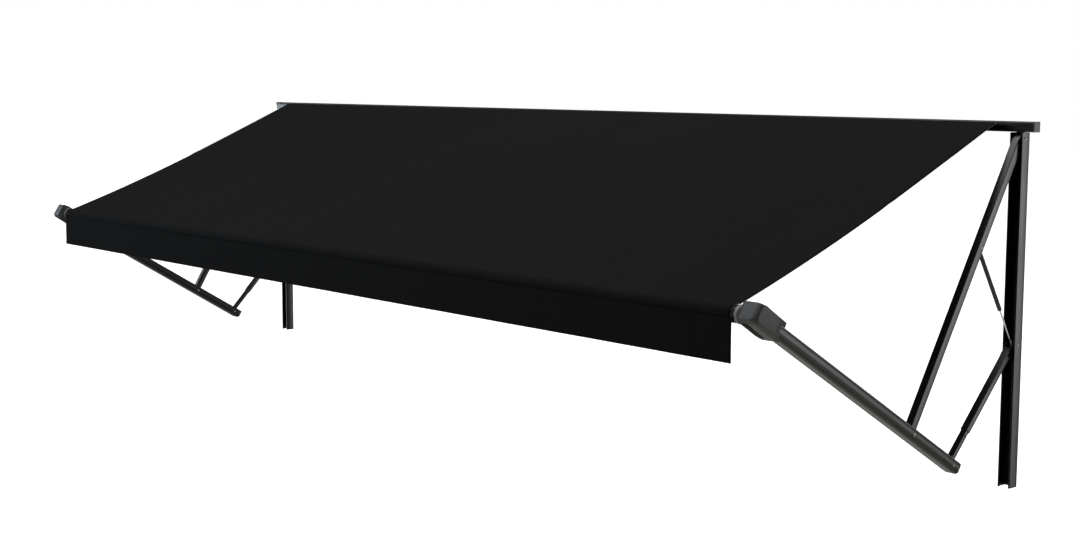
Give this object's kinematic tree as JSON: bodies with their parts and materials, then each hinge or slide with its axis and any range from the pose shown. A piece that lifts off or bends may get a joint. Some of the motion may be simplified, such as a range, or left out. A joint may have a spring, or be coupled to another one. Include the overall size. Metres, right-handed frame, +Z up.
{
  "type": "canvas awning",
  "caption": "Wall-mounted canvas awning: black canopy with a straight valance on a powered roller, carried by folding channel arms with gas struts.",
  "frame": {"origin": "middle of the rail's back face, on the wall plane", "axes": "+X along the rail, +Y into the wall, -Y is the way the awning projects, +Z up"},
  "size_m": [6.5738, 1.8889, 1.737],
  "materials": {
    "powder_coat": "satin black powder coat on extruded alloy",
    "moulded_plastic": "fine-grained black moulding",
    "canvas": "tight woven black canvas",
    "zinc_steel": "zinc-plated steel",
    "polished_steel": "polished piston rod",
    "bare_alloy": "mill finish"
  },
  "bodies": {
    "wall_frame": {"wall_rail": "powder_coat", "canopy": "canvas", "rail_end_cap_right": "moulded_plastic", "rail_end_cap_left": "moulded_plastic", "post_right": "powder_coat", "post_left": "powder_coat", "hanger_bracket_right": "zinc_steel", "hanger_bracket_left": "zinc_steel", "top_pivot_bolt_right": "zinc_steel", "top_pivot_bolt_left": "zinc_steel", "low_pivot_pin_right_outer": "zinc_steel", "low_pivot_pin_right_inner": "zinc_steel", "low_pivot_pin_left_outer": "zinc_steel", "low_pivot_pin_left_inner": "zinc_steel"},
    "upper_arms": {"upper_arm_right": "powder_coat", "upper_arm_left": "powder_coat", "strut_pin_right": "zinc_steel", "strut_pin_left": "zinc_steel"},
    "main_arms": {"main_arm_right": "powder_coat", "main_arm_left": "powder_coat", "main_arm_end_cap_right": "moulded_plastic", "main_arm_end_cap_left": "moulded_plastic", "head_housing_right": "moulded_plastic", "head_housing_left": "moulded_plastic", "head_cover_right": "moulded_plastic", "head_cover_left": "moulded_plastic", "elbow_bolt_right": "zinc_steel", "elbow_bolt_left": "zinc_steel", "foot_pin_right_outer": "zinc_steel", "foot_pin_right_inner": "zinc_steel", "foot_pin_left_outer": "zinc_steel", "foot_pin_left_inner": "zinc_steel", "gear_case": "bare_alloy", "bearing_block": "bare_alloy", "drive_motor": "bare_alloy", "idler_spindle": "zinc_steel"},
    "lower_sleeves": {"lower_sleeve_right": "powder_coat", "lower_sleeve_left": "powder_coat"},
    "lower_slides": {"lower_slide_right": "powder_coat", "lower_slide_left": "powder_coat"},
    "button_right": {"lock_button_right": "zinc_steel"},
    "button_left": {"lock_button_left": "zinc_steel"},
    "strut_cylinders": {"strut_cylinder_right": "powder_coat", "strut_cylinder_left": "powder_coat"},
    "strut_rods": {"strut_rod_right": "polished_steel", "strut_rod_left": "polished_steel"},
    "roller": {"roller_tube": "bare_alloy", "roller_end_right": "moulded_plastic", "roller_end_left": "moulded_plastic", "valance": "canvas"}
  },
  "joints": [
    {"name": "awning_fold", "type": "hinge", "parent": "wall_frame", "child": "upper_arms", "pos_m": [0, -0.0374, -0.0543], "axis": [1, 0, 0], "range_deg": [0, 28.75], "deforming": ["canopy"]},
    {"name": "elbow", "type": "hinge", "parent": "upper_arms", "child": "main_arms", "pos_m": [0, -0.8145, -1.3467], "axis": [1, 0, 0], "range_deg": [-85.42, 0.2]},
    {"name": "sleeve_swing", "type": "hinge", "parent": "wall_frame", "child": "lower_sleeves", "pos_m": [0, -0.0342, -1.0243], "axis": [1, 0, 0], "range_deg": [-0.2, 40.95]},
    {"name": "slide_extend", "type": "slide", "parent": "lower_sleeves", "child": "lower_slides", "axis": [0, -0.6892, -0.7246], "range_m": [-0.001, 0.1435]},
    {"name": "strut_swing", "type": "hinge", "parent": "upper_arms", "child": "strut_cylinders", "pos_m": [0, -0.33267, -0.54536], "axis": [1, 0, 0], "range_deg": [-54.2, 0.2]},
    {"name": "strut_stroke", "type": "slide", "parent": "strut_cylinders", "child": "strut_rods", "axis": [0, 0.5289, -0.8487], "range_m": [-0.186, 0.001]},
    {"name": "roller_turn", "type": "hinge", "parent": "main_arms", "child": "roller", "pos_m": [0, -1.81936, -0.72803], "axis": [1, 0, 0], "range_deg": [-2, 2221.47], "deforming": ["valance"]},
    {"name": "lock_press_right", "type": "slide", "parent": "lower_slides", "child": "button_right", "axis": [-1, 0, 0], "range_m": [0, 0.004], "stiffness_N_per_m": 400},
    {"name": "lock_press_left", "type": "slide", "parent": "lower_slides", "child": "button_left", "axis": [1, 0, 0], "range_m": [0, 0.004], "stiffness_N_per_m": 400}
  ],
  "couplings": [
    {"joint": "elbow", "follows": "awning_fold", "ratio": -2.9638},
    {"joint": "sleeve_swing", "follows": "awning_fold", "ratio": 1.4173},
    {"joint": "slide_extend", "follows": "awning_fold", "m_per_rad": 0.28396},
    {"joint": "strut_swing", "follows": "awning_fold", "ratio": -1.8782},
    {"joint": "strut_stroke", "follows": "awning_fold", "m_per_rad": -0.36865},
    {"joint": "roller_turn", "follows": "awning_fold", "ratio": 77.087}
  ]
}
